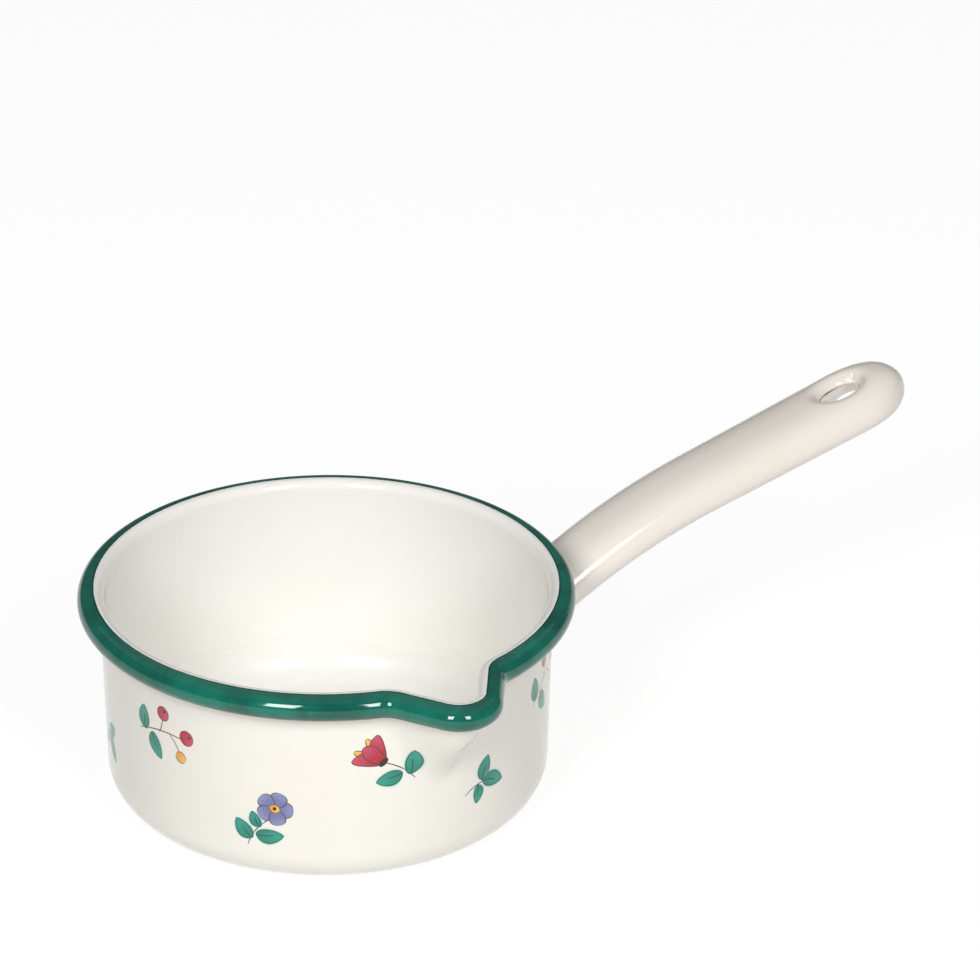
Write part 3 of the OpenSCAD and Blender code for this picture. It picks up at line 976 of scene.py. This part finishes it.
# %% The look of the coat under the base
WORN_FROM, WORN_TO = (0.0435, 0.0455), (0.0489, 0.0478)
SPUR_R, SPUR_EDGE, SPUR_TURN = 0.037, (0.0012, 0.0007), (0.06, 0.03)
base_material, tree, shader = coat_material("ground_enamel")
skin = use(
    tree, enamel_skin, Colour=(0.74, 0.72, 0.66, 1), Cloud=(0.6, 0.57, 0.5, 1), Cloud_scale=60,
    Cloud_share=0.6, Speck=(0.1, 0.08, 0.06, 1), Speck_share=0.03, Gloss=0.3, Ripple=0.4,
)
place = object_place(tree)
x, y, z = split(tree, place)
radius = sums(
    tree, "SQRT", sums(tree, "ADD", sums(tree, "POWER", x, 2), sums(tree, "POWER", y, 2))
)
worn = times(tree, ramp(tree, radius, *WORN_FROM), ramp(tree, radius, *WORN_TO))
scratched = times(tree, worn, ramp(tree, noise(tree, place, 700, 4), 0.45, 0.6))
turn = sums(tree, "ARCTAN2", y, x)
third = sums(tree, "ABSOLUTE", sums(tree, "SINE", times(tree, turn, 1.5)))
off_spur = sums(tree, "ABSOLUTE", minus(tree, radius, SPUR_R))
spur = times(tree, ramp(tree, third, *SPUR_TURN), ramp(tree, off_spur, *SPUR_EDGE))
colour = wash(tree, scratched, 0.6, skin["Colour"], (0.42, 0.39, 0.34, 1))
plug_in(tree, shader, {
    "Colour": mix(tree, spur, colour, (0.06, 0.05, 0.05, 1)),
    "Roughness": scaled(tree, scratched, 0.3, skin["Roughness"]),
    "Normal": skin["Normal"],
})
dress(base_coat, base_material)

# %% [markdown]
# The green of the rim is brushed on thick and runs before it fires, so it is watery: lighter
# where it is thin, darker where it gathers. Its inner edge ends in a fine dark line, and a
# brown line shows at the underside of the roll, where the green burns thin over the edge.

# %% The green coat
rim_material, tree, shader = coat_material("rim_enamel", 1.52)
place = object_place(tree)
turn = tree.nodes.new("ShaderNodeAttribute")
turn.attribute_name = "turn"
wobble = scaled(tree, noise(tree, place, 160, 3), 9, -4.5)
round_turn = sums(tree, "ADD", turn.outputs["Fac"], wobble)
pool = ramp(tree, noise(tree, place, 75, 4, 0.6), 0.35, 0.68)
green = mix(tree, pool, (0.005, 0.162, 0.110, 1), (0.003, 0.098, 0.068, 1))
streak = ramp(tree, noise(tree, place, 320, 2), 0.58, 0.75)
green = wash(tree, streak, 0.3, green, (0.010, 0.22, 0.15, 1))
inner_line = ramp(tree, round_turn, 97, 105)
green = wash(tree, inner_line, 0.85, green, (0.001, 0.028, 0.022, 1))
brown = times(tree, ramp(tree, round_turn, -27, -39), ramp(tree, round_turn, -84, -74))
green = wash(tree, brown, 0.85, green, (0.050, 0.024, 0.012, 1))
skin = use(
    tree, enamel_skin, Colour=green, Cloud=(0.003, 0.05, 0.04, 1), Cloud_scale=48,
    Cloud_share=0.35, Speck=(0.002, 0.02, 0.02, 1), Speck_share=0.02, Gloss=0.08, Ripple=0.2,
)
plug_in(tree, shader, skin)
dress(rim_coat, rim_material)

# %% [markdown]
# The wall's sprigs are small fired transfers. All of them are drawn from one stroke: a leaf
# shape with a length, a width, a bend, a point and a place where it is widest. It gives its
# fill, its outline, the way along it, and how the colour bleeds into the ground round it.
# Petals, leaves, berries and stems are such strokes with other numbers.

# %% One painted stroke
stroke, given, out = group(
    "painted stroke",
    [
        ("Place", "vector", None),
        ("X", "value", 0), ("Y", "value", 0), ("Turn", "value", 0),
        ("Length", "value", 3), ("Width", "value", 1.5), ("Point", "value", 0.5),
        ("Bend", "value", 0), ("Line", "value", 0.2), ("Swell", "value", 1),
    ],
    [("Fill", "value"), ("Outline", "value"), ("Along", "value"), ("Bleed", "value")],
)
tree = stroke
shift = tree.nodes.new("ShaderNodeVectorMath")
shift.operation = "SUBTRACT"
put(tree, shift.inputs[0], given["Place"])
put(tree, shift.inputs[1], flat_place(tree, given["X"], given["Y"]))
x, y, z = split(tree, turned(tree, shift.outputs[0], times(tree, given["Turn"], -1)))
along = sums(tree, "MAXIMUM", sums(tree, "DIVIDE", x, given["Length"]), 0)
along = sums(tree, "POWER", along, given["Swell"])
hump = times(tree, times(tree, along, 4), minus(tree, 1, along))
hump = sums(tree, "MAXIMUM", hump, 0)
across = sums(tree, "ABSOLUTE", minus(tree, y, times(tree, hump, given["Bend"])))
half = times(tree, sums(tree, "POWER", hump, given["Point"]), times(tree, given["Width"], 0.5))
inside = minus(tree, half, across)
within = sums(tree, "GREATER_THAN", hump, 0.0001)
fill = times(tree, ramp(tree, inside, -0.06, 0.06), within)
core = times(tree, ramp(tree, minus(tree, inside, given["Line"]), -0.08, 0.08), within)
bleed = times(tree, ramp(tree, inside, -1.0, 0.1), ramp(tree, hump, 0, 0.25))
put(tree, out["Fill"], fill)
put(tree, out["Outline"], minus(tree, fill, core))
put(tree, out["Along"], along)
put(tree, out["Bleed"], bleed)
print("painted stroke:", len(tree.nodes), "nodes")

# %% [markdown]
# Four sprigs are put together from strokes, each in its own group, in millimetres round its
# middle: an open flower, a tulip, a berry twig and a plain twig. The colours are the usual ones
# of such transfers: blue-green leaves that bleed a little, with dark green lines, and red,
# violet-blue and warm yellow with fine brown ones.

# %% The four sprigs
LEAF, LEAF_LINE, BLEED = (0.010, 0.205, 0.145), (0.006, 0.040, 0.030), (0.19, 0.56, 0.47)
RED, ROSE = (0.40, 0.016, 0.032), (0.50, 0.06, 0.11)
BLUE, PALE_BLUE = (0.15, 0.165, 0.34), (0.22, 0.245, 0.43)
GOLD, PALE_GOLD = (0.70, 0.32, 0.04), (0.80, 0.46, 0.10)
BROWN, DARK = (0.09, 0.028, 0.02), (0.04, 0.01, 0.012)
LIT_LEAF = (0.022, 0.29, 0.215)
LINE = 0.3


def sprig(name, strokes):
    """Paints strokes of x, y, turn, length, width, point, bend, swell, two fills and a line."""
    tree, given, out = group(
        name, [("Place", "vector", None), ("Ground", "colour", (0.8, 0.8, 0.8, 1))],
        [("Colour", "colour"), ("Mask", "value")],
    )
    colour, mask = given["Ground"], 0.0
    grain = noise(tree, given["Place"], 1.6, 3)
    for x, y, turn, length, width, point, bend, swell, base, tip, line in strokes:
        s = use(
            tree, stroke, Place=given["Place"], X=x, Y=y, Turn=math.radians(turn),
            Length=length, Width=width, Point=point, Bend=bend, Line=min(LINE, width * 0.3),
            Swell=swell,
        )
        if base == LEAF:
            colour = wash(tree, s["Bleed"], 0.75, colour, (*BLEED, 1))
            mask = sums(tree, "MAXIMUM", mask, s["Bleed"])
        shade = ramp(tree, scaled(tree, grain, 0.9, s["Along"]), 0.6, 1.4)
        paint = mix(tree, shade, (*base, 1), (*tip, 1))
        colour = wash(tree, s["Fill"], 0.99, colour, paint)
        colour = wash(tree, s["Outline"], 0.85, colour, (*line, 1))
        mask = sums(tree, "MAXIMUM", mask, s["Fill"])
    put(tree, out["Colour"], colour)
    put(tree, out["Mask"], mask)
    print(name, "has", len(strokes), "strokes")
    return tree


def leaf(x, y, turn, length, width=4.2, bend=0.4):
    return [
        (x, y, turn, length, width, 0.85, bend, 0.8, LEAF, LIT_LEAF, LEAF_LINE),
        (x, y, turn, length * 0.62, 0.24, 0.3, bend * 0.6, 1, LEAF_LINE, LEAF_LINE, LEAF_LINE),
    ]


def stem(x, y, turn, length, bend):
    return [(x, y, turn, length, 0.34, 0.15, bend, 1, BROWN, BROWN, BROWN)]


def petal(x, y, turn, length, width, base, tip, bend=0.0, swell=1.0, point=0.45):
    return [(x, y, turn, length, width, point, bend, swell, base, tip, BROWN)]


def berry(x, y, across, base, tip):
    return petal(x - across / 2, y, 0, across, across, base, tip, point=0.5)


def bloom(x, y, reach, petals, base, tip):
    made = []
    for k in range(petals):
        made += petal(x, y, 360 * k / petals + 18, reach, reach * 0.95, base, tip, swell=1.5)
    made += berry(x, y, reach * 0.56, GOLD, PALE_GOLD)
    return made + berry(x, y, reach * 0.2, DARK, DARK)


open_flower = sprig(
    "sprig with an open flower",
    stem(-1.6, -9.4, 76, 10, 0.9) + leaf(-1.2, -7, 152, 6.8)
    + leaf(-0.9, -5.4, 24, 7.6, bend=-0.5) + leaf(-0.5, -3, 138, 5, 3)
    + bloom(0.9, 3.9, 4.9, 5, BLUE, PALE_BLUE),
)
tulip = sprig(
    "sprig with a tulip",
    stem(1.2, -9.8, 98, 10.2, -0.9)
    + leaf(1.2, -8, 40, 8, bend=-0.5) + leaf(0.6, -6, 148, 7.2)
    + petal(-0.9, 3.2, 106, 5, 2.2, GOLD, PALE_GOLD)
    + petal(0.9, 3.2, 74, 5, 2.2, GOLD, PALE_GOLD)
    + petal(-0.3, 0, 124, 8, 4, RED, ROSE, -0.9, 1.1, 0.6)
    + petal(0.3, 0, 56, 8, 4, RED, ROSE, 0.9, 1.1, 0.6)
    + petal(0, -0.4, 90, 7.4, 4.2, RED, ROSE, 0, 1.15, 0.5)
    + petal(-1.5, 0.1, 0, 3, 1.7, DARK, DARK),
)
berries = sprig(
    "sprig with berries",
    stem(-8, -5, 32, 17, 1.2) + stem(-1.6, -0.1, 98, 5, -0.4) + stem(1.6, 2.0, -32, 6, 0.5)
    + leaf(-6, -3.6, 116, 7) + leaf(-3.8, -2.2, -40, 7.6, bend=-0.5)
    + berry(-2.4, 5.8, 4.2, RED, ROSE) + berry(6.4, 5, 4.4, RED, ROSE)
    + berry(7, -1.4, 3.4, GOLD, PALE_GOLD) + berry(-2.2, 6.6, 0.9, DARK, DARK)
    + berry(7, 5.8, 0.9, DARK, DARK),
)
twig = sprig(
    "leafy twig",
    stem(-6, -3, 22, 8, 0.9) + leaf(-1, 0, 84, 6.6, 3.8) + leaf(-1, 0, -8, 7.2, 4)
    + leaf(-2.4, -0.7, -86, 5, 3),
)

# %% [markdown]
# The wall has twelve columns of 30 degrees with a sprig each. The angle round the pan and the
# height give a flat place in millimetres; the column's number draws its height, its turn and
# its size, and picks one of the four sprigs.

# %% The coat on the wall, with its sprigs
COLUMN = math.radians(30)
DRAW = 41.5
HIGH_LEVEL, LOW_BY, LEVEL_RANGE = 35.5, 17, 5
WALL_CLOUD = 0.25
body_material, tree, shader = coat_material("body_enamel")
x, y, z = split(tree, object_place(tree))
angle = times(tree, sums(tree, "ARCTAN2", y, x), 1 / COLUMN)
column = sums(tree, "FLOOR", angle)
draw = tree.nodes.new("ShaderNodeTexWhiteNoise")
draw.noise_dimensions = "1D"
put(tree, draw.inputs["W"], sums(tree, "ADD", column, DRAW))
drawn = split(tree, draw.outputs["Color"], "Color")
odd = sums(tree, "PINGPONG", column, 1)
level = scaled(tree, odd, -LOW_BY, HIGH_LEVEL)
level = sums(tree, "ADD", level, times(tree, drawn[0], LEVEL_RANGE))
along = times(tree, minus(tree, sums(tree, "FRACT", angle), 0.5), COLUMN * WALL_R)
above = minus(tree, times(tree, z, 1 / MM), level)
tilt = scaled(tree, drawn[1], 1.9, -0.95)
size = tree.nodes.new("ShaderNodeVectorMath")
size.operation = "SCALE"
put(tree, size.inputs[0], turned(tree, flat_place(tree, along, above), tilt))
put(tree, size.inputs["Scale"], scaled(tree, drawn[2], 0.12, 0.84))
ground = (0.79, 0.765, 0.705, 1)
colour, mask = ground, 0.0
number = sums(tree, "FLOORED_MODULO", column, 4)
for k, motif in enumerate((tulip, twig, berries, open_flower)):
    painted = use(tree, motif, Place=size.outputs[0], Ground=ground)
    picked = sums(tree, "COMPARE", number, k, 0.1)
    colour = wash(tree, picked, painted["Mask"], colour, painted["Colour"])
    mask = scaled(tree, picked, painted["Mask"], mask)
skin = use(
    tree, enamel_skin, Colour=colour, Cloud=(0.78, 0.73, 0.62, 1), Cloud_scale=30,
    Cloud_share=scaled(tree, mask, -WALL_CLOUD, WALL_CLOUD), Speck=SPECK,
    Speck_share=SPECK_SHARE, Gloss=0.12, Ripple=0.16,
)
plug_in(tree, shader, skin)
dress(wall_coat, body_material)
print("wall enamel:", len(tree.nodes), "nodes")

# %% [markdown]
# The steel under the coats only shows where a coat ends, at the end of the roll. It gets a
# drawn sheet's look: fine lines round the pan, blued by the furnace.

# %% The steel's finish
steel_material, tree, shader = coat_material("sheet_steel")
place = object_place(tree)
stretch = tree.nodes.new("ShaderNodeMapping")
put(tree, stretch.inputs["Vector"], place)
stretch.inputs["Scale"].default_value = (30, 30, 1400)
lines = noise(tree, stretch.outputs[0], 1, 3)
blued = ramp(tree, noise(tree, place, 60, 3), 0.35, 0.65)
blued = mix(tree, blued, (0.30, 0.31, 0.34, 1), (0.16, 0.16, 0.19, 1))
steel_colour = mix(tree, ramp(tree, lines, 0.3, 0.7), blued, (0.36, 0.36, 0.38, 1))
tree.links.new(steel_colour, shader.inputs["Base Color"])
tree.links.new(scaled(tree, lines, 0.3, 0.25), shader.inputs["Roughness"])
shader.inputs["Metallic"].default_value = 1
dress(steel_sheet, steel_material)

# %% [markdown]
# The studio: a pale floor, a pale world and two tall soft boxes beside the camera, which give
# the pairs of bright streaks on the rim, the lip and the handle, and a wide one overhead. For
# the camera and in reflections the floor is lit up to white, and the pan's shadow stays on it.

# %% Floor and world
bpy.ops.mesh.primitive_plane_add(size=16, location=(0, 0, -0.0001))
floor = start_piece("floor")
floor_material = bpy.data.materials.new("studio_floor")
floor_material.use_nodes = True
tree = floor_material.node_tree
tree.nodes.remove(tree.nodes["Principled BSDF"])
paper = tree.nodes.new("ShaderNodeBsdfDiffuse")
paper.inputs["Color"].default_value = (0.9, 0.9, 0.9, 1)
glow = tree.nodes.new("ShaderNodeEmission")
light_path = tree.nodes.new("ShaderNodeLightPath")
glow.inputs["Strength"].default_value = 1.1
seen = sums(
    tree, "MAXIMUM", light_path.outputs["Is Camera Ray"], light_path.outputs["Is Glossy Ray"]
)
seen = sums(tree, "MAXIMUM", seen, light_path.outputs["Is Transmission Ray"])
blend = tree.nodes.new("ShaderNodeMixShader")
put(tree, blend.inputs[0], times(tree, seen, 0.8))
tree.links.new(paper.outputs[0], blend.inputs[1])
tree.links.new(glow.outputs[0], blend.inputs[2])
tree.links.new(blend.outputs[0], tree.nodes["Material Output"].inputs["Surface"])
dress(floor, floor_material)

world = bpy.data.worlds.new("studio_world")
bpy.context.scene.world = world
world.use_nodes = True
tree = world.node_tree
tree.nodes["Background"].inputs["Strength"].default_value = 0.12
tree.nodes["Background"].inputs["Color"].default_value = (1, 1, 1, 1)

# %% Camera and lamps
CAMERA_SIDE = math.radians(29)
CAMERA_BACK, CAMERA_UP = 1.6371, 0.92077
yaw, pitch, roll = CAMERA_SIDE + 0.0263473, 0.4712859, 0.0027056
forward = Vector(
    (math.sin(yaw) * math.cos(pitch), math.cos(yaw) * math.cos(pitch), -math.sin(pitch))
)
level_right = Vector((math.cos(yaw), -math.sin(yaw), 0))
level_up = level_right.cross(forward)
right = level_right * math.cos(roll) + level_up * math.sin(roll)
up = level_up * math.cos(roll) - level_right * math.sin(roll)
camera = bpy.data.objects.new("camera", bpy.data.cameras.new("camera"))
bpy.context.scene.collection.objects.link(camera)
camera.matrix_world = Matrix.Translation(
    (-CAMERA_BACK * math.sin(CAMERA_SIDE), -CAMERA_BACK * math.cos(CAMERA_SIDE), CAMERA_UP)
) @ Matrix((right, up, -forward)).transposed().to_4x4()
camera.data.sensor_width = 36
camera.data.lens = 257.14
camera.data.clip_end = 20
bpy.context.scene.camera = camera

TARGET = Vector((0.02, 0, 0.03))
CAMERA_AZIMUTH = -119


def soft_box(name, side, height, distance, width, tall, power):
    """A lamp at an angle beside the camera and above the horizon, turned to the pan."""
    bpy.ops.object.light_add(type="AREA")
    lamp = bpy.context.object
    lamp.name = name
    a, e = math.radians(CAMERA_AZIMUTH + side), math.radians(height)
    lamp.location = TARGET + distance * Vector(
        (math.cos(e) * math.cos(a), math.cos(e) * math.sin(a), math.sin(e))
    )
    lamp.rotation_euler = (TARGET - lamp.location).to_track_quat("-Z", "Y").to_euler()
    lamp.data.shape = "RECTANGLE"
    lamp.data.size = width
    lamp.data.size_y = tall
    lamp.data.energy = power


soft_box("left_box", -22, 34, 1.5, 0.32, 0.65, 12.1)
soft_box("right_box", 24, 34, 1.5, 0.27, 0.65, 10)
soft_box("top_box", 180, 75, 1.4, 2.2, 2.2, 3.6)

bpy.context.scene.view_settings.view_transform = "Standard"
